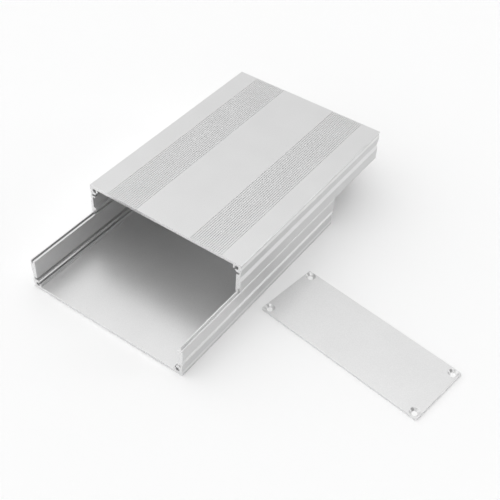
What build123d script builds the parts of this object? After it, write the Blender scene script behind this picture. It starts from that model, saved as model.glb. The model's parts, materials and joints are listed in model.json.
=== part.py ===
from build123d import *
import os
from math import cos, radians, sin

# Split-body aluminium enclosure, in millimetres.
# X runs across the box, Y along it with the open front at -Y, and Z up.
# The origin is the centre of the lower shell's base face.

# Box
WIDTH = 107.0
HEIGHT = 42.0
LENGTH = 150.0
SLIDE_OPEN = 50.5

# Extruded walls
FLOOR = 2.0
THICK_WALL = 3.2
THIN_WALL = 1.7
EDGE = 0.25
SEAM_EDGE = 0.3

# Tongue and groove between the two shells
LIP_WIDTH = 0.8
TONGUE_HEIGHT = 2.3
JOINT_CLEARANCE = 0.1
GROOVE_CLEARANCE = 0.2
INNER_LIP_DROP = 0.2
LEAD_IN = 0.25
FOOT_REACH = 3.4
FOOT_DROP = 1.9
FOOT_THICKNESS = 2.2
FOOT_RAMP = 0.5

# Screw ports and card slots
PORT_INSET = 3.3
PORT_RADIUS = 1.3
PORT_WALL = 1.0
PORT_GAP = 1.0
SLOT_HEIGHT = 6.2
SLOT_WIDTH = 1.6
SLOT_SKIN = 1.3
RAIL_REACH = 3.7
RAIL_THICKNESS = 1.0
RIB_THICKNESS = 1.0

# Fine ribbed bands on the outside of the floor and the roof
BAND_START = 13.5
GROOVE_PITCH = 1.31
GROOVE_COUNT = 17
GROOVE_MOUTH = 0.36
GROOVE_FLOOR = 0.2
GROOVE_DEPTH = 0.45

# Outside of the thick wall: a lip, a flute, a leaning face and a step
LIP_HEIGHT = 0.4
FLUTE_DEPTH = 0.6
FLUTE_FLOOR = 1.7
FLUTE_TOP = 3.7
LEAN = 0.7
STEP_HEIGHT = 10.1
STEP_CUT = 0.25
STEP_RUN = 2.6

# Outside of the thin wall: a low foot, a flat band, a raised bead and a notch over it
SKIRT_LOW = 1.9
SKIRT_TOP = 3.2
SKIRT_DEPTH = 0.3
BAND_DEPTH = 0.5
BAND_TOP = 7.6
BEAD_LOW = 8.8
BEAD_TOP = 9.4
NOTCH_HEIGHT = 10.7
NOTCH_DEPTH = 0.8
NOTCH_TOP = 11.9

# End plates
PLATE_THICKNESS = 1.5
PLATE_CORNER = 0.8
PLATE_EDGE = 0.15
HOLE_RADIUS = 1.6
SINK_RADIUS = 3.0
FRONT_PLATE_GAP = 6.2
FRONT_PLATE_AHEAD = 2.7
FRONT_PLATE_TURN = -8.0
REAR_PLATE_GAP = 0.3
REAR_PLATE_ASIDE = 14.0
LOOSE_SCREW_GAP = 0.4
LOOSE_SCREW_PITCH = 12.0
LOOSE_SCREW_COUNT = 4

# Countersunk screws
HEAD_RADIUS = 2.75
HEAD_RIM = 0.2
SHANK_RADIUS = 1.25
SCREW_LENGTH = 8.0
SCREW_TIP = 0.3
RECESS_LENGTH = 2.9
RECESS_WIDTH = 0.7
RECESS_DEPTH = 1.1

# Derived sizes
HALF_WIDTH = WIDTH / 2
PARTING = HEIGHT / 2
THICK_SIDE = -1
THIN_SIDE = 1
TONGUE_OUT = LIP_WIDTH + JOINT_CLEARANCE
TONGUE_IN = THIN_WALL
GROOVE_IN = TONGUE_IN + JOINT_CLEARANCE
GROOVE_BOTTOM = PARTING - TONGUE_HEIGHT - GROOVE_CLEARANCE
SLOT_TOP = SLOT_HEIGHT + SLOT_WIDTH
REAR_PLATE_MIDDLE = LENGTH / 2 + REAR_PLATE_GAP + PARTING


def across(side, inset):
    """X of a point that lies inset from the outer face on that side."""
    return side * (HALF_WIDTH - inset)


def patch(side, points):
    """Area bounded by (inset, height) points on one side of the section."""
    return make_face(Polyline([(across(side, i), h) for i, h in points], close=True))


def panel(side, inset_from, inset_to, height_from, height_to):
    """Rectangular area on one side of the section."""
    corners = [(inset_from, height_from), (inset_to, height_from)]
    return patch(side, corners + [(inset_to, height_to), (inset_from, height_to)])


def thick_face():
    """Outer face of the thick wall, from the base up."""
    flute_low = LIP_HEIGHT + FLUTE_DEPTH / 2
    points = [(EDGE, 0), (0, EDGE), (0, LIP_HEIGHT)]
    points += [(FLUTE_DEPTH, flute_low), (FLUTE_DEPTH, flute_low + FLUTE_FLOOR)]
    points += [(0, FLUTE_TOP), (LEAN, STEP_HEIGHT)]
    points += [(LEAN + STEP_CUT, STEP_HEIGHT + STEP_CUT / 2)]
    return points + [(0, STEP_HEIGHT + STEP_RUN), (0, PARTING - SEAM_EDGE), (SEAM_EDGE, PARTING)]


def thin_face():
    """Outer face of the thin wall, from the base up."""
    points = [(EDGE, 0), (0, EDGE), (0, SKIRT_LOW), (SKIRT_DEPTH, SKIRT_TOP)]
    points += [(BAND_DEPTH, BAND_TOP), (0, BEAD_LOW), (0, BEAD_TOP)]
    points += [(NOTCH_DEPTH, NOTCH_HEIGHT), (0, NOTCH_TOP)]
    return points + [(0, PARTING - SEAM_EDGE), (SEAM_EDGE, PARTING)]


def outer_outline():
    """Full outline of the shell, closed straight across the parting plane."""
    left = [(across(THICK_SIDE, i), h) for i, h in thick_face()]
    right = [(across(THIN_SIDE, i), h) for i, h in thin_face()]
    return make_face(Polyline(right + left[::-1], close=True))


def cavity():
    """Open space between the two walls, above the floor."""
    left = across(THICK_SIDE, THICK_WALL)
    right = across(THIN_SIDE, THIN_WALL)
    corners = [(left, FLOOR), (right, FLOOR), (right, PARTING), (left, PARTING)]
    return make_face(Polyline(corners, close=True))


def port_lug(side):
    """Round lug in the bottom corner that carries a screw port, with the card rail on it."""
    centre = Pos(across(side, PORT_INSET), PORT_INSET)
    lug = centre * Circle(PORT_RADIUS + PORT_WALL)
    lug += panel(side, THIN_WALL, PORT_INSET, FLOOR / 2, PORT_INSET + PORT_RADIUS + PORT_WALL)
    lug += panel(side, PORT_INSET, PORT_INSET + PORT_RADIUS + PORT_WALL, FLOOR / 2, PORT_INSET)
    rail_low = SLOT_HEIGHT - RAIL_THICKNESS
    return lug + panel(side, THIN_WALL / 2, RAIL_REACH, rail_low, SLOT_HEIGHT)


def port_bore(side):
    """Bore of the port, open towards the middle of the box."""
    centre = Pos(across(side, PORT_INSET), PORT_INSET)
    reach = PORT_RADIUS + 2 * PORT_WALL
    turn = 45 if side == THICK_SIDE else 135
    mouth = Rot(0, 0, turn) * Pos(reach / 2, 0) * Rectangle(reach, PORT_GAP)
    return centre * (Circle(PORT_RADIUS) + mouth)


def card_slot(side):
    """Groove that takes the edge of a card."""
    return panel(side, SLOT_SKIN, RAIL_REACH + THICK_WALL, SLOT_HEIGHT, SLOT_TOP)


def thin_wall_foot():
    """Flared top of the thin wall, under its tongue."""
    top = PARTING - FOOT_DROP
    low = top - FOOT_THICKNESS
    points = [(THIN_WALL / 2, PARTING), (TONGUE_IN, PARTING), (TONGUE_IN, top)]
    points += [(FOOT_REACH, top), (FOOT_REACH, low), (THIN_WALL, low - FOOT_RAMP)]
    return patch(THIN_SIDE, points + [(THIN_WALL / 2, low - FOOT_RAMP)])


def tongue():
    """Tongue that stands above the parting plane on the thin wall."""
    tip = PARTING + TONGUE_HEIGHT
    points = [(TONGUE_OUT, PARTING - LIP_WIDTH), (TONGUE_OUT, tip - LEAD_IN)]
    points += [(TONGUE_OUT + LEAD_IN, tip), (TONGUE_IN - LEAD_IN, tip)]
    points += [(TONGUE_IN, tip - LEAD_IN), (TONGUE_IN, PARTING - LIP_WIDTH)]
    return patch(THIN_SIDE, points)


def joint_groove():
    """Groove in the thick wall that takes the other shell's tongue, and the drop of its inner lip."""
    inner_top = PARTING - INNER_LIP_DROP
    groove = panel(THICK_SIDE, LIP_WIDTH, GROOVE_IN, GROOVE_BOTTOM, PARTING)
    groove += panel(THICK_SIDE, LIP_WIDTH, THICK_WALL, inner_top, PARTING)
    lead = [(GROOVE_IN, inner_top - LEAD_IN), (GROOVE_IN + LEAD_IN, inner_top)]
    return groove + patch(THICK_SIDE, lead + [(GROOVE_IN, inner_top)])


def ribbed_bands():
    """Fine grooves in two bands across the outside of the floor."""
    grooves = []
    for side in (THICK_SIDE, THIN_SIDE):
        for count in range(GROOVE_COUNT):
            middle = BAND_START + count * GROOVE_PITCH
            points = [(middle - GROOVE_MOUTH / 2, 0), (middle - GROOVE_FLOOR / 2, GROOVE_DEPTH)]
            points += [(middle + GROOVE_FLOOR / 2, GROOVE_DEPTH), (middle + GROOVE_MOUTH / 2, 0)]
            grooves.append(patch(side, points))
    return grooves


def shell_section():
    """Section of one shell. Both shells are cut from this one extrusion."""
    section = outer_outline() - cavity()
    section += thin_wall_foot()
    section += tongue()
    section += panel(THIN_SIDE, THIN_WALL / 2, FOOT_REACH, SLOT_TOP, SLOT_TOP + RIB_THICKNESS)
    for side in (THICK_SIDE, THIN_SIDE):
        section += port_lug(side)
    for side in (THICK_SIDE, THIN_SIDE):
        section -= card_slot(side)
        section -= port_bore(side)
    section -= joint_groove()
    return section - ribbed_bands()


def shell():
    """Shell as it stands with its base down, centred along Y."""
    body = extrude(Plane.XZ * shell_section(), amount=LENGTH, dir=(0, 1, 0))
    return Pos(0, -LENGTH / 2, 0) * body


def turned_over(part):
    """The same part turned half a turn about the long axis of the box."""
    return Pos(0, 0, HEIGHT) * Rot(0, 180, 0) * part


def hole_places():
    """Centres of the four screw holes about the middle of an end plate."""
    reach_x = HALF_WIDTH - PORT_INSET
    reach_y = PARTING - PORT_INSET
    return [(x, y) for x in (-reach_x, reach_x) for y in (-reach_y, reach_y)]


def end_plate():
    """End plate lying flat with its outer face up."""
    plate = extrude(RectangleRounded(WIDTH, HEIGHT, PLATE_CORNER), amount=PLATE_THICKNESS)
    plate = chamfer(plate.edges().group_by(Axis.Z)[-1], PLATE_EDGE)
    sink_depth = SINK_RADIUS - HOLE_RADIUS
    hole = Pos(0, 0, PLATE_THICKNESS / 2) * Cylinder(HOLE_RADIUS, PLATE_THICKNESS)
    hole += Pos(0, 0, PLATE_THICKNESS - sink_depth / 2) * Cone(HOLE_RADIUS, SINK_RADIUS, sink_depth)
    for x, y in hole_places():
        plate -= Pos(x, y, 0) * hole
    return plate


def screw():
    """Countersunk screw, head up with its top at the origin."""
    neck = -HEAD_RIM - (HEAD_RADIUS - SHANK_RADIUS)
    outline = [(0, 0), (HEAD_RADIUS, 0), (HEAD_RADIUS, -HEAD_RIM), (SHANK_RADIUS, neck)]
    outline += [(SHANK_RADIUS, -SCREW_LENGTH + SCREW_TIP)]
    outline += [(SHANK_RADIUS - SCREW_TIP, -SCREW_LENGTH), (0, -SCREW_LENGTH)]
    body = revolve(Plane.XZ * make_face(Polyline(outline, close=True)), axis=Axis.Z)
    for turn in (0, 90):
        body -= Rot(0, 0, turn) * Box(RECESS_LENGTH, RECESS_WIDTH, 2 * RECESS_DEPTH)
    return body


def front_plate_place():
    """Where the front end plate lies, beside the box."""
    turn = radians(abs(FRONT_PLATE_TURN))
    reach = HALF_WIDTH * cos(turn) + PARTING * sin(turn)
    middle = HALF_WIDTH + FRONT_PLATE_GAP + reach
    return Pos(middle, FRONT_PLATE_AHEAD, 0) * Rot(0, 0, FRONT_PLATE_TURN)


def rear_plate_place():
    """Where the rear end plate lies face down, behind the lower shell."""
    return Pos(-REAR_PLATE_ASIDE, REAR_PLATE_MIDDLE, PLATE_THICKNESS) * Rot(180, 0, 0)


def loose_screw_places():
    """Where the front plate's screws stand on their heads, in a row behind the rear plate."""
    row = REAR_PLATE_MIDDLE + PARTING + LOOSE_SCREW_GAP + HEAD_RADIUS
    first = -REAR_PLATE_ASIDE - LOOSE_SCREW_PITCH * (LOOSE_SCREW_COUNT - 1) / 2
    return [Pos(first + number * LOOSE_SCREW_PITCH, row, 0) for number in range(LOOSE_SCREW_COUNT)]


def all_parts():
    """Every piece by name, as it stands in the layout."""
    slid = Pos(0, SLIDE_OPEN, 0)
    pieces = {"lower_shell": shell(), "upper_shell": slid * turned_over(shell())}
    pieces["front_end_plate"] = front_plate_place() * end_plate()
    pieces["rear_end_plate"] = rear_plate_place() * end_plate()
    for number, (x, y) in enumerate(hole_places(), start=1):
        seat = rear_plate_place() * Pos(x, y, PLATE_THICKNESS)
        pieces[f"rear_plate_screw_{number}"] = seat * screw()
    for number, place in enumerate(loose_screw_places(), start=1):
        pieces[f"front_plate_screw_{number}"] = place * Rot(180, 0, 0) * screw()
    return pieces


def main():
    os.makedirs("parts", exist_ok=True)
    for name, piece in all_parts().items():
        export_step(piece, f"parts/{name}.step")


main()
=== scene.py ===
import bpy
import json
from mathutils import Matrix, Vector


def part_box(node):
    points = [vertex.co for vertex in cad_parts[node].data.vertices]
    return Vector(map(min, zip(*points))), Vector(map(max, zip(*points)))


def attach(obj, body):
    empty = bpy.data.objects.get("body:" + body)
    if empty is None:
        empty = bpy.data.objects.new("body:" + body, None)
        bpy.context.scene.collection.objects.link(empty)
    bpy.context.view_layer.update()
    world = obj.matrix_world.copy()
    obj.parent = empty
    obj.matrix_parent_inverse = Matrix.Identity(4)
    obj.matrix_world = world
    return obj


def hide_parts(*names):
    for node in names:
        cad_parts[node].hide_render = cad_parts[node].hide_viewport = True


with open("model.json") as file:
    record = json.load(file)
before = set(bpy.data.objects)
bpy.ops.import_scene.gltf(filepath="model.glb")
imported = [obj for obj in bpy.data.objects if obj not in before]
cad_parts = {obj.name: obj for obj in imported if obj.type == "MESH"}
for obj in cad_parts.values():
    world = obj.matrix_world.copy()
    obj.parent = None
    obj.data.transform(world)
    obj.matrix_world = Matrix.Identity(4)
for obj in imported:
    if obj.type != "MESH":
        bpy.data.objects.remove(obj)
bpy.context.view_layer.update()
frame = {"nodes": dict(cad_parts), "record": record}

import json
from math import cos, pi, radians, sin

import bmesh
import bpy
from bpy.props import FloatProperty, FloatVectorProperty, IntProperty, PointerProperty
from mathutils import Matrix, Vector

bl_info = {
    "name": "Split-body aluminium enclosure",
    "version": (1, 0, 0),
    "blender": (4, 5, 0),
    "location": "3D View > Sidebar > Enclosure",
    "description": "Finishes, screws and stage of a two-shell aluminium enclosure",
    "category": "Object",
}

# All lengths are in metres, in the frame's own axes: +X across the box towards
# the loose plate, +Y along the box to its rear, +Z up.

MM = 0.001
SHELLS = ("lower_shell", "upper_shell")
PLATES = ("front_end_plate", "rear_end_plate")
SCREWS = tuple(name for name in sorted(frame["nodes"]) if "screw" in name)

# Screw head and its cross recess, as the plain screws of the frame have them
HEAD_RADIUS = 2.75 * MM
HEAD_RIM = 0.2 * MM
HEAD_CHAMFER = 0.06 * MM
RECESS_REACH = 1.45 * MM
RECESS_LOW_REACH = 0.75 * MM
RECESS_HALF_WIDTH = 0.36 * MM
RECESS_LOW_HALF_WIDTH = 0.3 * MM
RECESS_DEPTH = 1.1 * MM
RECESS_ABOVE = 0.1 * MM
RINGS_PER_TURN = 10

# Tones against the plain colour: the grain's speckle, the dark of the clouds and
# the painted highlight on the rounded edges; and changes of roughness from the die's lines and the
# saw
SPECKLE = 0.04
CLOUD_TONE = 0.975
EDGE_HIGHLIGHT_TONE = 1.25
STREAK_DULLNESS = 0.06
SAWN_SHINE = 0.06

# Grain: how much finer the second layer of pits is and how much coarser the
# mottle, the share of each layer in the height, and the clouds per metre
FINE_PITS = 2.3
COARSE_MOTTLE = 0.4
PIT_SHARES = (0.7, 0.3)
CLOUDS = 45.0

# Lines from the die: how often they repeat across and along the box, per metre
FINE_LINES = (1600, 5, 1600)
BROAD_LINES = (180, 1.5, 180)
DIE_LINE_DEPTH = 0.004 * MM

# Arcs of the saw on the sawn ends: rings per metre, middle of the blade, depth
SAW_RINGS = 420.0
SAW_MIDDLE = (0.06, 0.0, 0.16)
SAW_DEPTH = 0.01 * MM

# Faces count as sides from the first to the second of these, the size of their
# normal's X. The walls of the fine grooves, at 0.985, stay out.
SIDE_FACES = (0.986, 0.99)

# Heights on the sky dome, as the sine of the elevation, between which one zone
# passes into the next: white horizon, low sky, half way up, overhead
LOW_SKY = (0.04, 0.12)
HALF_WAY_UP = (0.15, 0.45)
OVERHEAD = (0.68, 0.86)

# Small round lights: direction, and the angles in degrees of full and no light
EDGE_LIGHT = ((0.75, 0.58, 0.31), 3, 14)
FRONT_LIGHT = ((0.38, -0.61, 0.70), 3, 10)


def body_of_node(node):
    """Name of the rigid body that a node belongs to."""
    for body, members in frame["record"]["behaviour"]["bodies"].items():
        if node in members:
            return body
    raise ValueError(f"{node} is in no body")


# Settings


class ShellSettings(bpy.types.PropertyGroup):
    """Finish of the two extruded shells."""

    colour: FloatVectorProperty(
        name="Colour", description="Clear-anodised aluminium of the shells",
        subtype="COLOR", size=3, min=0, max=1, default=(0.79, 0.79, 0.79))
    metal: FloatProperty(
        name="Metal",
        description="Share of the light that the metal mirrors, the oxide layer scatters the rest",
        subtype="FACTOR", min=0, max=1, default=0.75)
    roughness: FloatProperty(
        name="Roughness", description="How matt the blasted surface is",
        subtype="FACTOR", min=0, max=1, default=0.36)
    grain: FloatProperty(
        name="Grain size", description="Width of the pits that blasting leaves",
        unit="LENGTH", min=0.05 * MM, default=0.35 * MM)
    grain_depth: FloatProperty(
        name="Grain depth", description="Depth of the pits that blasting leaves",
        unit="LENGTH", min=0, default=0.03 * MM)
    mottle: FloatProperty(
        name="Mottle", description="How much the dullness changes from spot to spot",
        subtype="FACTOR", min=0, max=1, default=0.14)
    side_dullness: FloatProperty(
        name="Side dullness", description="How much duller the faces along the sides are",
        subtype="FACTOR", min=0, max=1, default=0.18)
    # Painted shade: how dark the flat faces along the sides are painted
    painted_side_shade: FloatProperty(
        name="Painted side shade", description="Tone of the faces along the sides against the others",
        subtype="FACTOR", min=0, max=1, default=0.88)
    die_lines: FloatProperty(
        name="Die lines",
        description="Strength of the faint lines that the die leaves along the box",
        subtype="FACTOR", min=0, max=1, default=0.25)
    edge_radius: FloatProperty(
        name="Edge radius", description="Radius to which blasting has rounded the edges",
        unit="LENGTH", min=0, default=0.18 * MM)
    # Painted highlight: how much lighter the rounded edges are painted
    edge_highlight: FloatProperty(
        name="Painted edge highlight", description="How much lighter the rounded edges are",
        subtype="FACTOR", min=0, max=1, default=0.9)


class PlateSettings(bpy.types.PropertyGroup):
    """Finish of the two end plates."""

    colour: FloatVectorProperty(
        name="Colour", description="Clear-anodised aluminium of the end plates",
        subtype="COLOR", size=3, min=0, max=1, default=(0.79, 0.79, 0.79))
    metal: FloatProperty(
        name="Metal",
        description="Share of the light that the metal mirrors, the oxide layer scatters the rest",
        subtype="FACTOR", min=0, max=1, default=0.75)
    roughness: FloatProperty(
        name="Roughness", description="How matt the blasted surface is",
        subtype="FACTOR", min=0, max=1, default=0.36)
    grain: FloatProperty(
        name="Grain size", description="Width of the pits that blasting leaves",
        unit="LENGTH", min=0.05 * MM, default=0.45 * MM)
    grain_depth: FloatProperty(
        name="Grain depth", description="Depth of the pits that blasting leaves",
        unit="LENGTH", min=0, default=0.02 * MM)
    mottle: FloatProperty(
        name="Mottle", description="How much the dullness changes from spot to spot",
        subtype="FACTOR", min=0, max=1, default=0.08)
    edge_radius: FloatProperty(
        name="Edge radius", description="Radius to which blasting has rounded the edges",
        unit="LENGTH", min=0, default=0.15 * MM)
    # Painted highlight: how much lighter the rounded edges are painted
    edge_highlight: FloatProperty(
        name="Painted edge highlight", description="How much lighter the rounded edges are",
        subtype="FACTOR", min=0, max=1, default=0.4)


class ScrewSettings(bpy.types.PropertyGroup):
    """Shape and finish of the countersunk screws."""

    colour: FloatVectorProperty(
        name="Colour", description="Bright zinc plating",
        subtype="COLOR", size=3, min=0, max=1, default=(0.62, 0.63, 0.64))
    roughness: FloatProperty(
        name="Roughness", description="How dull the plating is",
        subtype="FACTOR", min=0, max=1, default=0.28)
    thread_radius: FloatProperty(
        name="Thread radius", description="Radius over the crests of the thread",
        unit="LENGTH", min=0, default=1.45 * MM)
    core_radius: FloatProperty(
        name="Core radius", description="Radius at the root of the thread",
        unit="LENGTH", min=0, default=1.2 * MM)
    pitch: FloatProperty(
        name="Pitch", description="Rise of the thread in one turn",
        unit="LENGTH", min=0.1 * MM, default=0.5 * MM)
    segments: IntProperty(
        name="Segments", description="Faces around the screw", min=12, default=36)


class StageSettings(bpy.types.PropertyGroup):
    """Floor, light and camera."""

    floor_colour: FloatVectorProperty(
        name="Floor colour", description="Plain pale floor",
        subtype="COLOR", size=3, min=0, max=1, default=(0.98, 0.98, 0.98))
    floor_radius: FloatProperty(
        name="Floor radius", description="Radius of the round floor",
        unit="LENGTH", min=0.1, default=4.0)
    overhead: FloatProperty(
        name="Overhead light", description="Brightness of the sky dome overhead",
        min=0, default=1.38)
    horizon: FloatProperty(
        name="Horizon light", description="Brightness of the sky dome at the horizon",
        min=0, default=1.0)
    left: FloatProperty(
        name="Left light", description="Extra brightness half way up on the left of the box",
        min=0, default=1.27)
    back: FloatProperty(
        name="Back light", description="Extra brightness half way up behind the box",
        min=0, default=0.60)
    shade: FloatProperty(
        name="Shade side", description="Brightness half way up on the other sides",
        min=0, default=0.10)
    dusk: FloatProperty(
        name="Right horizon", description="How much darker the horizon is on the right of the box",
        min=0, default=0.85)
    edge_light: FloatProperty(
        name="Edge light",
        description="Brightness of the small light that lines the edges on the right",
        min=0, default=3.1)
    front_light: FloatProperty(
        name="Front light", description="Brightness of the small light half way up in front",
        min=0, default=4.5)
    light_turn: FloatProperty(
        name="Light turn", description="Turn of the left and back lights about the vertical",
        subtype="ANGLE", default=radians(30))
    azimuth: FloatProperty(
        name="Azimuth", description="Direction of the camera, from -Y towards +X",
        subtype="ANGLE", default=radians(32.3))
    elevation: FloatProperty(
        name="Elevation", description="Height of the camera above the floor, as an angle",
        subtype="ANGLE", default=radians(44.2))
    distance: FloatProperty(
        name="Distance", description="Distance of the camera from the point it looks at",
        unit="LENGTH", min=0, default=0.5073)
    roll: FloatProperty(
        name="Roll", description="Turn of the camera about its own view",
        subtype="ANGLE", default=radians(4.0))
    target: FloatVectorProperty(
        name="Target", description="Point that the camera looks at",
        subtype="TRANSLATION", size=3, default=(0.0406, 0.0029, 0.025))
    lens: FloatProperty(
        name="Lens", description="Focal length in millimetres on a 36 mm sensor",
        min=1, default=64.8)


class EnclosureSettings(bpy.types.PropertyGroup):
    """All settings of the enclosure."""

    shells: PointerProperty(type=ShellSettings)
    plates: PointerProperty(type=PlateSettings)
    screws: PointerProperty(type=ScrewSettings)
    stage: PointerProperty(type=StageSettings)


# Shader helpers


def new_group(name, inputs, outputs):
    """Empty shader node group with named sockets, and its two end nodes."""
    tree = bpy.data.node_groups.new(name, "ShaderNodeTree")
    for label, kind, default in inputs:
        socket = tree.interface.new_socket(label, in_out="INPUT", socket_type=kind)
        if default is not None:
            socket.default_value = default
    for label, kind in outputs:
        tree.interface.new_socket(label, in_out="OUTPUT", socket_type=kind)
    return tree, tree.nodes.new("NodeGroupInput"), tree.nodes.new("NodeGroupOutput")


def math(tree, operation, first, second=None, clamp=False):
    """Output of a maths node fed by sockets or numbers."""
    node = tree.nodes.new("ShaderNodeMath")
    node.operation = operation
    node.use_clamp = clamp
    for index, value in enumerate((first, second)):
        if value is None:
            continue
        if isinstance(value, (int, float)):
            node.inputs[index].default_value = value
        else:
            tree.links.new(value, node.inputs[index])
    return node.outputs[0]


def remap(tree, value, low, high, to_low, to_high):
    """Value carried from one range to another, and held inside it."""
    node = tree.nodes.new("ShaderNodeMapRange")
    tree.links.new(value, node.inputs["Value"])
    ends = {"From Min": low, "From Max": high, "To Min": to_low, "To Max": to_high}
    for label, end in ends.items():
        if isinstance(end, (int, float)):
            node.inputs[label].default_value = end
        else:
            tree.links.new(end, node.inputs[label])
    return node.outputs["Result"]


def noise(tree, vector, scale, detail, roughness=0.5):
    """Factor of a noise texture at the given points."""
    node = tree.nodes.new("ShaderNodeTexNoise")
    tree.links.new(vector, node.inputs["Vector"])
    if isinstance(scale, (int, float)):
        node.inputs["Scale"].default_value = scale
    else:
        tree.links.new(scale, node.inputs["Scale"])
    node.inputs["Detail"].default_value = detail
    node.inputs["Roughness"].default_value = roughness
    return node.outputs["Fac"]


def stretched(tree, vector, factors):
    """Points scaled by a factor along each axis."""
    node = tree.nodes.new("ShaderNodeMapping")
    tree.links.new(vector, node.inputs["Vector"])
    node.inputs["Scale"].default_value = factors
    return node.outputs["Vector"]


# Shared effects


def blasted_grain_group():
    """Fine pits of a bead-blasted surface, with mottled dullness and slow clouds of tone."""
    if "Blasted Grain" in bpy.data.node_groups:
        return bpy.data.node_groups["Blasted Grain"]
    inputs = [("Grain Size", "NodeSocketFloat", 0.0004)]
    outputs = [("Height", "NodeSocketFloat"), ("Speckle", "NodeSocketFloat")]
    outputs += [("Cloud", "NodeSocketFloat"), ("Mottle", "NodeSocketFloat")]
    tree, given, result = new_group("Blasted Grain", inputs, outputs)
    points = tree.nodes.new("ShaderNodeTexCoord").outputs["Object"]
    scale = math(tree, "DIVIDE", 1.0, given.outputs["Grain Size"])
    pits = noise(tree, points, scale, 1.0, 0.6)
    fine = noise(tree, points, math(tree, "MULTIPLY", scale, FINE_PITS), 0.0)
    shares = zip((pits, fine), PIT_SHARES)
    layers = [math(tree, "MULTIPLY", layer, share) for layer, share in shares]
    tree.links.new(math(tree, "ADD", *layers), result.inputs["Height"])
    tree.links.new(remap(tree, pits, 0.3, 0.7, 0.0, 1.0), result.inputs["Speckle"])
    cloud = noise(tree, points, CLOUDS, 2.0)
    tree.links.new(remap(tree, cloud, 0.3, 0.7, 0.0, 1.0), result.inputs["Cloud"])
    broad = noise(tree, points, math(tree, "MULTIPLY", scale, COARSE_MOTTLE), 1.0)
    tree.links.new(remap(tree, broad, 0.15, 0.85, 0.0, 1.0), result.inputs["Mottle"])
    return tree


def die_lines_group():
    """Faint lines along the box, from the extrusion die."""
    if "Die Lines" in bpy.data.node_groups:
        return bpy.data.node_groups["Die Lines"]
    outputs = [("Height", "NodeSocketFloat"), ("Tone", "NodeSocketFloat")]
    tree, _, result = new_group("Die Lines", [], outputs)
    points = tree.nodes.new("ShaderNodeTexCoord").outputs["Object"]
    fine = noise(tree, stretched(tree, points, FINE_LINES), 1.0, 1.0)
    broad = noise(tree, stretched(tree, points, BROAD_LINES), 1.0, 1.0)
    tree.links.new(remap(tree, fine, 0.35, 0.65, 0.0, 1.0), result.inputs["Height"])
    tree.links.new(remap(tree, broad, 0.3, 0.7, 0.0, 1.0), result.inputs["Tone"])
    return tree


def sawn_end_group():
    """Faces square to the box's length, with the arcs that the saw left on them."""
    if "Sawn End" in bpy.data.node_groups:
        return bpy.data.node_groups["Sawn End"]
    outputs = [("Mask", "NodeSocketFloat"), ("Height", "NodeSocketFloat")]
    tree, _, result = new_group("Sawn End", [], outputs)
    facing = tree.nodes.new("ShaderNodeSeparateXYZ")
    tree.links.new(tree.nodes.new("ShaderNodeNewGeometry").outputs["Normal"], facing.inputs[0])
    along = math(tree, "ABSOLUTE", facing.outputs["Y"])
    mask = remap(tree, along, 0.9, 0.98, 0.0, 1.0)
    points = tree.nodes.new("ShaderNodeTexCoord").outputs["Object"]
    arcs = tree.nodes.new("ShaderNodeTexWave")
    arcs.wave_type = "RINGS"
    arcs.rings_direction = "Y"
    arcs.inputs["Scale"].default_value = SAW_RINGS
    arcs.inputs["Distortion"].default_value = 2.5
    arcs.inputs["Detail"].default_value = 2.0
    arcs.inputs["Detail Scale"].default_value = 40.0
    moved = tree.nodes.new("ShaderNodeMapping")
    moved.inputs["Location"].default_value = SAW_MIDDLE
    tree.links.new(points, moved.inputs["Vector"])
    tree.links.new(moved.outputs["Vector"], arcs.inputs["Vector"])
    tree.links.new(mask, result.inputs["Mask"])
    tree.links.new(math(tree, "MULTIPLY", arcs.outputs["Fac"], mask), result.inputs["Height"])
    return tree


def rounded_edge_group():
    """Edges as blasting rounds them: their normal, and a mask of where they lie."""
    if "Rounded Edge" in bpy.data.node_groups:
        return bpy.data.node_groups["Rounded Edge"]
    inputs = [("Radius", "NodeSocketFloat", 0.0002)]
    outputs = [("Normal", "NodeSocketVector"), ("Mask", "NodeSocketFloat")]
    tree, given, result = new_group("Rounded Edge", inputs, outputs)
    bevel = tree.nodes.new("ShaderNodeBevel")
    bevel.samples = 6
    tree.links.new(given.outputs["Radius"], bevel.inputs["Radius"])
    flat = tree.nodes.new("ShaderNodeNewGeometry").outputs["True Normal"]
    same = tree.nodes.new("ShaderNodeVectorMath")
    same.operation = "DOT_PRODUCT"
    tree.links.new(bevel.outputs["Normal"], same.inputs[0])
    tree.links.new(flat, same.inputs[1])
    tree.links.new(bevel.outputs["Normal"], result.inputs["Normal"])
    tree.links.new(remap(tree, same.outputs["Value"], 0.995, 0.85, 0.0, 1.0), result.inputs["Mask"])
    return tree


def side_faces_group():
    """Mask of the flat faces along the sides, which are duller than the rest and get painted shade.
    """
    if "Side Faces" in bpy.data.node_groups:
        return bpy.data.node_groups["Side Faces"]
    tree, _, result = new_group("Side Faces", [], [("Mask", "NodeSocketFloat")])
    flat = tree.nodes.new("ShaderNodeNewGeometry").outputs["True Normal"]
    facing = tree.nodes.new("ShaderNodeSeparateXYZ")
    tree.links.new(flat, facing.inputs[0])
    across = math(tree, "ABSOLUTE", facing.outputs["X"])
    tree.links.new(remap(tree, across, *SIDE_FACES, 0.0, 1.0), result.inputs["Mask"])
    return tree


def place_group(tree, group, **values):
    """Group node in a material, with its inputs set."""
    node = tree.nodes.new("ShaderNodeGroup")
    node.node_tree = group
    for label, value in values.items():
        node.inputs[label.replace("_", " ")].default_value = value
    return node


def blend_colour(tree, amount, first, second):
    """Mix of two colours by an amount socket or number."""
    node = tree.nodes.new("ShaderNodeMix")
    node.data_type = "RGBA"
    for index, value in ((0, amount), (6, first), (7, second)):
        if isinstance(value, (int, float, tuple)):
            node.inputs[index].default_value = value
        else:
            tree.links.new(value, node.inputs[index])
    return node.outputs[2]


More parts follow.
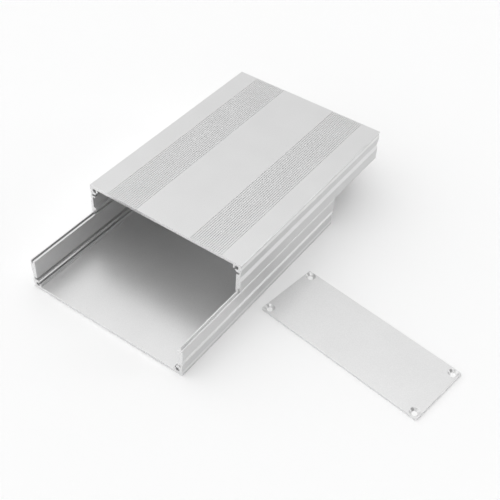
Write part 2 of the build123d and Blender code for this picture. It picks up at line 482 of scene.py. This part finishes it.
def multiplied(tree, first, second):
    """Product of a colour socket and another, or a plain colour."""
    node = tree.nodes.new("ShaderNodeMix")
    node.data_type = "RGBA"
    node.blend_type = "MULTIPLY"
    node.inputs[0].default_value = 1.0
    tree.links.new(first, node.inputs[6])
    if isinstance(second, tuple):
        node.inputs[7].default_value = second
    else:
        tree.links.new(second, node.inputs[7])
    return node.outputs[2]


def shaded(colour, factor):
    """A colour made lighter or darker, with its alpha."""
    return tuple(min(1.0, channel * factor) for channel in colour) + (1.0,)


def bumped(tree, height, distance, strength, normal):
    """Normal bent by a height, on top of another normal."""
    node = tree.nodes.new("ShaderNodeBump")
    node.inputs["Strength"].default_value = strength
    node.inputs["Distance"].default_value = distance
    tree.links.new(height, node.inputs["Height"])
    tree.links.new(normal, node.inputs["Normal"])
    return node.outputs["Normal"]


# Materials


def new_material(name, metal):
    """Material with a Principled shader, metallic by the given share."""
    material = bpy.data.materials.new(name)
    material.use_nodes = True
    shader = material.node_tree.nodes["Principled BSDF"]
    shader.inputs["Metallic"].default_value = metal
    return material, material.node_tree, shader


def link_looks(tree, shader, base, rough, normal):
    """Feeds a material's shader."""
    tree.links.new(base, shader.inputs["Base Color"])
    tree.links.new(rough, shader.inputs["Roughness"])
    tree.links.new(normal, shader.inputs["Normal"])


def blasted_looks(tree, settings, grain, edge):
    """Colour and roughness of blasted aluminium, the same on every face, with a painted highlight
    on the rounded edges.
    """
    colour = tuple(settings.colour)
    dark, light = shaded(colour, 1 - SPECKLE), shaded(colour, 1 + SPECKLE)
    tone = blend_colour(tree, grain.outputs["Speckle"], dark, light)
    cloud = blend_colour(tree, grain.outputs["Cloud"], shaded((1, 1, 1), CLOUD_TONE), (1, 1, 1, 1))
    # Painted highlight: the rounded edges are made lighter than the plain colour
    edge_highlight_share = math(tree, "MULTIPLY", edge.outputs["Mask"], settings.edge_highlight)
    base = blend_colour(tree, edge_highlight_share, multiplied(tree, tone, cloud), shaded(colour, EDGE_HIGHLIGHT_TONE))
    low, high = settings.roughness - SPECKLE, settings.roughness + SPECKLE
    rough = remap(tree, grain.outputs["Speckle"], 0.0, 1.0, low, high)
    half = settings.mottle / 2
    mottle = remap(tree, grain.outputs["Mottle"], 0.0, 1.0, -half, half)
    return base, math(tree, "ADD", rough, mottle)


def extruded_looks(tree, settings, base, rough, normal):
    """The same with lines from the die, duller sides darkened with painted shade, and sawn ends."""
    die = place_group(tree, die_lines_group())
    sawn = place_group(tree, sawn_end_group())
    side = place_group(tree, side_faces_group()).outputs["Mask"]
    streak = math(tree, "MULTIPLY", die.outputs["Tone"], settings.die_lines * STREAK_DULLNESS)
    rough = math(tree, "ADD", rough, streak)
    # Painted shade: the flat faces along the sides are made darker than the rest
    shaded_side_base = multiplied(tree, base, shaded((1, 1, 1), settings.painted_side_shade))
    base = blend_colour(tree, side, base, shaded_side_base)
    duller = math(tree, "MULTIPLY", side, settings.side_dullness)
    rough = math(tree, "ADD", rough, duller)
    shinier = math(tree, "MULTIPLY", sawn.outputs["Mask"], -SAWN_SHINE)
    rough = math(tree, "ADD", rough, shinier)
    normal = bumped(tree, die.outputs["Height"], DIE_LINE_DEPTH, settings.die_lines, normal)
    normal = bumped(tree, sawn.outputs["Height"], SAW_DEPTH, 0.5, normal)
    return base, rough, normal


def anodised_aluminium(name, settings, extruded):
    """Blasted, clear-anodised aluminium, of an extruded shell or of a flat plate."""
    material, tree, shader = new_material(name, settings.metal)
    grain = place_group(tree, blasted_grain_group(), Grain_Size=settings.grain)
    edge = place_group(tree, rounded_edge_group(), Radius=settings.edge_radius)
    base, rough = blasted_looks(tree, settings, grain, edge)
    normal = edge.outputs["Normal"]
    if extruded:
        base, rough, normal = extruded_looks(tree, settings, base, rough, normal)
    normal = bumped(tree, grain.outputs["Height"], settings.grain_depth, 0.6, normal)
    link_looks(tree, shader, base, rough, normal)
    return material


def zinc_plate(settings):
    """Bright zinc plating on the screws, with a painted highlight on their rounded edges."""
    material, tree, shader = new_material("zinc_plated_steel", 1.0)
    colour = tuple(settings.colour)
    grain = place_group(tree, blasted_grain_group(), Grain_Size=0.6 * MM)
    edge = place_group(tree, rounded_edge_group(), Radius=0.06 * MM)
    tone = blend_colour(tree, grain.outputs["Speckle"], shaded(colour, 0.92), shaded(colour, 1.06))
    # Painted highlight: the screws' rounded edges are made lighter
    base = blend_colour(tree, edge.outputs["Mask"], tone, shaded(colour, 1.2))
    low, high = settings.roughness - 0.06, settings.roughness + 0.08
    rough = remap(tree, grain.outputs["Cloud"], 0.0, 1.0, low, high)
    normal = bumped(tree, grain.outputs["Height"], 0.006 * MM, 0.4, edge.outputs["Normal"])
    link_looks(tree, shader, base, rough, normal)
    return material


def give_material(obj, material):
    """Puts one material in every slot of an object."""
    obj.data.materials.clear()
    obj.data.materials.append(material)


# Screws


def neck_height(settings):
    """Height at which the head's cone ends, with the head's top at 0."""
    return -HEAD_RIM - (HEAD_RADIUS - settings.core_radius)


def screw_radius(settings, height, turn, neck, tip):
    """Radius of the shank at a height and an angle, with its thread."""
    phase = (height / settings.pitch - turn / (2 * pi)) % 1.0
    crest = max(0.0, 1.0 - abs(phase - 0.5) * 2.6)
    run_in = min(1.0, max(0.0, (neck - height) / settings.pitch))
    run_out = min(1.0, max(0.0, (height - tip) / (1.6 * settings.pitch)))
    depth = (settings.thread_radius - settings.core_radius) * min(1.0, crest * 1.5)
    return settings.core_radius * (0.82 + 0.18 * run_out) + depth * run_in * run_out


def screw_rings(settings, length):
    """Rings of points from the head's top to the tip, as (radius, height)."""
    neck = neck_height(settings)
    rows = [(0.0, HEAD_RADIUS - HEAD_CHAMFER), (-HEAD_CHAMFER, HEAD_RADIUS)]
    rows += [(-HEAD_RIM, HEAD_RADIUS)]
    rows += [((neck - HEAD_RIM) / 2, (HEAD_RADIUS + settings.core_radius) / 2)]
    count = int((neck + length) / settings.pitch * RINGS_PER_TURN)
    rings = []
    for height, radius in rows:
        rings.append([(radius, height)] * settings.segments)
    for step in range(count + 1):
        height = neck - (neck + length) * step / count
        ring = []
        for index in range(settings.segments):
            turn = 2 * pi * index / settings.segments
            ring.append((screw_radius(settings, height, turn, neck, -length), height))
        rings.append(ring)
    return rings


def screw_mesh(settings, length):
    """Mesh of a threaded countersunk screw, without its cross recess."""
    bm = bmesh.new()
    turns = [2 * pi * index / settings.segments for index in range(settings.segments)]
    rows = []
    for ring in screw_rings(settings, length):
        spots = zip(ring, turns)
        rows.append([bm.verts.new((r * cos(a), r * sin(a), z)) for (r, z), a in spots])
    for upper, lower in zip(rows, rows[1:]):
        for index in range(settings.segments):
            after = (index + 1) % settings.segments
            bm.faces.new((upper[index], lower[index], lower[after], upper[after]))
    bm.faces.new(rows[0])
    bm.faces.new(reversed(rows[-1]))
    bmesh.ops.recalc_face_normals(bm, faces=bm.faces)
    mesh = bpy.data.meshes.new("screw")
    bm.to_mesh(mesh)
    bm.free()
    return mesh


def recess_cutter():
    """Tapered cross that cuts the recess in a screw's head."""
    bm = bmesh.new()
    upper = (RECESS_ABOVE, RECESS_REACH, RECESS_HALF_WIDTH)
    lower = (-RECESS_DEPTH, RECESS_LOW_REACH, RECESS_LOW_HALF_WIDTH)
    for turn in (0, pi / 2):
        corners = []
        for z, reach, half in (upper, lower):
            spots = [(-reach, -half), (reach, -half), (reach, half), (-reach, half)]
            corners.append([Matrix.Rotation(turn, 3, "Z") @ Vector((x, y, z)) for x, y in spots])
        high, deep = [[bm.verts.new(spot) for spot in ring] for ring in corners]
        bm.faces.new(high)
        bm.faces.new(reversed(deep))
        for index in range(4):
            after = (index + 1) % 4
            bm.faces.new((high[index], deep[index], deep[after], high[after]))
    bmesh.ops.recalc_face_normals(bm, faces=bm.faces)
    mesh = bpy.data.meshes.new("recess")
    bm.to_mesh(mesh)
    bm.free()
    return mesh


def cut_recess(mesh):
    """The screw's mesh with its recess cut, worked at a larger scale."""
    scale = Matrix.Scale(1 / MM, 4)
    mesh.transform(scale)
    cutter_mesh = recess_cutter()
    cutter_mesh.transform(scale)
    body = bpy.data.objects.new("screw_blank", mesh)
    cutter = bpy.data.objects.new("recess_cutter", cutter_mesh)
    for piece in (body, cutter):
        bpy.context.scene.collection.objects.link(piece)
    cut = body.modifiers.new("recess", "BOOLEAN")
    cut.operation = "DIFFERENCE"
    cut.object = cutter
    cut.solver = "EXACT"
    cut.use_self = True
    bpy.context.view_layer.update()
    shown = body.evaluated_get(bpy.context.evaluated_depsgraph_get())
    finished = bpy.data.meshes.new_from_object(shown)
    finished.transform(Matrix.Scale(MM, 4))
    for piece in (body, cutter):
        bpy.data.objects.remove(piece)
    for polygon in finished.polygons:
        polygon.use_smooth = True
    finished.set_sharp_from_angle(angle=radians(35))
    return finished


def screw_stand(node):
    """Middle of the head's face, on which the screw stands, and the screw's length."""
    low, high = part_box(node)
    return Vector(((low.x + high.x) / 2, (low.y + high.y) / 2, low.z)), (high - low).z


# Operators


class ENCLOSURE_OT_finish_shells(bpy.types.Operator):
    """Give both shells their blasted and anodised finish"""

    bl_idname = "enclosure.finish_shells"
    bl_label = "Finish Shells"

    def execute(self, context):
        settings = context.scene.enclosure.shells
        material = anodised_aluminium("shell_anodised", settings, extruded=True)
        for node in SHELLS:
            give_material(frame["nodes"][node], material)
        return {"FINISHED"}


class ENCLOSURE_OT_finish_plates(bpy.types.Operator):
    """Give both end plates their blasted and anodised finish"""

    bl_idname = "enclosure.finish_plates"
    bl_label = "Finish End Plates"

    def execute(self, context):
        settings = context.scene.enclosure.plates
        material = anodised_aluminium("plate_anodised", settings, extruded=False)
        for node in PLATES:
            give_material(frame["nodes"][node], material)
        return {"FINISHED"}


class ENCLOSURE_OT_build_screws(bpy.types.Operator):
    """Build the threaded countersunk screws where the frame has them"""

    bl_idname = "enclosure.build_screws"
    bl_label = "Build Screws"

    def execute(self, context):
        settings = context.scene.enclosure.screws
        material = zinc_plate(settings)
        pattern = cut_recess(screw_mesh(settings, screw_stand(SCREWS[0])[1]))
        head_down = Matrix.Rotation(pi, 4, "X")
        for number, node in enumerate(SCREWS):
            spin = Matrix.Rotation(radians(37 * number), 4, "Z")
            mesh = pattern.copy()
            mesh.transform(Matrix.Translation(screw_stand(node)[0]) @ head_down @ spin)
            screw = bpy.data.objects.new("threaded_" + node, mesh)
            context.scene.collection.objects.link(screw)
            give_material(screw, material)
            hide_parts(node)
            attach(screw, body_of_node(node))
        return {"FINISHED"}


class ENCLOSURE_OT_build_stage(bpy.types.Operator):
    """Build the floor, the sky dome's light and the camera"""

    bl_idname = "enclosure.build_stage"
    bl_label = "Build Stage"

    def execute(self, context):
        settings = context.scene.enclosure.stage
        build_floor(settings)
        build_sky(settings)
        build_camera(settings)
        context.scene.view_settings.view_transform = "Standard"
        return {"FINISHED"}


# Stage


def build_floor(settings):
    """Round pale floor under everything."""
    bm = bmesh.new()
    bmesh.ops.create_circle(bm, cap_ends=True, segments=96, radius=settings.floor_radius)
    mesh = bpy.data.meshes.new("floor")
    bm.to_mesh(mesh)
    bm.free()
    mesh.transform(Matrix.Translation((0, 0, -0.05 * MM)))
    floor = bpy.data.objects.new("floor", mesh)
    bpy.context.scene.collection.objects.link(floor)
    material = bpy.data.materials.new("pale_floor")
    material.use_nodes = True
    tree = material.node_tree
    tree.nodes.clear()
    paint = tree.nodes.new("ShaderNodeBsdfDiffuse")
    paint.inputs["Color"].default_value = tuple(settings.floor_colour) + (1.0,)
    end = tree.nodes.new("ShaderNodeOutputMaterial")
    tree.links.new(paint.outputs[0], end.inputs["Surface"])
    floor.data.materials.append(material)


def side_light(tree, across, along, level, turn):
    """Share of light from one side of the sky dome, by the turn of that side from -X."""
    facing_x = math(tree, "MULTIPLY", across, -cos(turn))
    facing_y = math(tree, "MULTIPLY", along, -sin(turn))
    facing = math(tree, "MAXIMUM", math(tree, "ADD", facing_x, facing_y), 0.0)
    return math(tree, "DIVIDE", math(tree, "MULTIPLY", facing, facing), level)


def small_light(tree, direction, light, strength):
    """Soft round light in one direction, full inside one angle and gone beyond another."""
    node = tree.nodes.new("ShaderNodeVectorMath")
    node.operation = "DOT_PRODUCT"
    tree.links.new(direction, node.inputs[0])
    towards, inner, outer = light
    node.inputs[1].default_value = Vector(towards).normalized()
    rim, core = cos(radians(outer)), cos(radians(inner))
    return remap(tree, node.outputs["Value"], rim, core, 0.0, strength)


def build_sky(settings):
    """Dome of soft light, brightest overhead and half way up on the left."""
    world = bpy.data.worlds.new("soft_dome")
    bpy.context.scene.world = world
    world.use_nodes = True
    tree = world.node_tree
    tree.nodes.clear()
    direction = tree.nodes.new("ShaderNodeTexCoord").outputs["Generated"]
    parts = tree.nodes.new("ShaderNodeSeparateXYZ")
    tree.links.new(direction, parts.inputs[0])
    across, along, up = parts.outputs
    level = math(tree, "SUBTRACT", 1.0001, math(tree, "MULTIPLY", up, up))
    left = side_light(tree, across, along, level, settings.light_turn)
    back = side_light(tree, across, along, level, settings.light_turn - pi / 2)
    sides = math(tree, "ADD", math(tree, "MULTIPLY", left, settings.left), settings.shade)
    sides = math(tree, "ADD", math(tree, "MULTIPLY", back, settings.back), sides)
    right = side_light(tree, across, along, level, settings.light_turn + pi)
    low = math(tree, "SUBTRACT", settings.horizon, math(tree, "MULTIPLY", right, settings.dusk))
    strength = remap(tree, up, *LOW_SKY, settings.horizon, low)
    strength = remap(tree, up, *HALF_WAY_UP, strength, sides)
    strength = remap(tree, up, *OVERHEAD, strength, settings.overhead)
    edge = small_light(tree, direction, EDGE_LIGHT, settings.edge_light)
    front = small_light(tree, direction, FRONT_LIGHT, settings.front_light)
    strength = math(tree, "ADD", strength, math(tree, "ADD", edge, front))
    light = tree.nodes.new("ShaderNodeBackground")
    light.inputs["Color"].default_value = (1.0, 1.0, 1.0, 1.0)
    tree.links.new(strength, light.inputs["Strength"])
    end = tree.nodes.new("ShaderNodeOutputWorld")
    tree.links.new(light.outputs[0], end.inputs["Surface"])


def build_camera(settings):
    """Camera at the photograph's angle."""
    azimuth, elevation, roll = settings.azimuth, settings.elevation, settings.roll
    back = Vector((sin(azimuth) * cos(elevation), -cos(azimuth) * cos(elevation), sin(elevation)))
    right = (-back).cross(Vector((0, 0, 1))).normalized()
    up = right.cross(-back)
    across = cos(roll) * right + sin(roll) * up
    above = cos(roll) * up - sin(roll) * right
    place = Vector(settings.target) + settings.distance * back
    axes = Matrix((across, above, back)).transposed().to_4x4()
    data = bpy.data.cameras.new("camera")
    data.sensor_width = 36.0
    data.lens = settings.lens
    camera = bpy.data.objects.new("camera", data)
    camera.matrix_world = Matrix.Translation(place) @ axes
    bpy.context.scene.collection.objects.link(camera)
    bpy.context.scene.camera = camera


# Panel


class ENCLOSURE_PT_panel(bpy.types.Panel):
    """Settings and steps of the enclosure"""

    bl_label = "Enclosure"
    bl_idname = "ENCLOSURE_PT_panel"
    bl_space_type = "VIEW_3D"
    bl_region_type = "UI"
    bl_category = "Enclosure"

    def draw(self, context):
        settings = context.scene.enclosure
        steps = (("shells", "enclosure.finish_shells"), ("plates", "enclosure.finish_plates"))
        steps += (("screws", "enclosure.build_screws"), ("stage", "enclosure.build_stage"))
        for name, step in steps:
            box = self.layout.box()
            group = getattr(settings, name)
            for key in group.bl_rna.properties.keys():
                if key not in ("rna_type", "name"):
                    box.prop(group, key)
            box.operator(step)


CLASSES = (
    ShellSettings, PlateSettings, ScrewSettings, StageSettings, EnclosureSettings,
    ENCLOSURE_OT_finish_shells, ENCLOSURE_OT_finish_plates,
    ENCLOSURE_OT_build_screws, ENCLOSURE_OT_build_stage, ENCLOSURE_PT_panel,
)


def register():
    for entry in CLASSES:
        bpy.utils.register_class(entry)
    bpy.types.Scene.enclosure = PointerProperty(type=EnclosureSettings)


def unregister():
    del bpy.types.Scene.enclosure
    for entry in reversed(CLASSES):
        bpy.utils.unregister_class(entry)


def main():
    register()
    bpy.ops.enclosure.build_stage()
    bpy.ops.enclosure.finish_shells()
    bpy.ops.enclosure.finish_plates()
    bpy.ops.enclosure.build_screws()


if __name__ == "__main__":
    main()
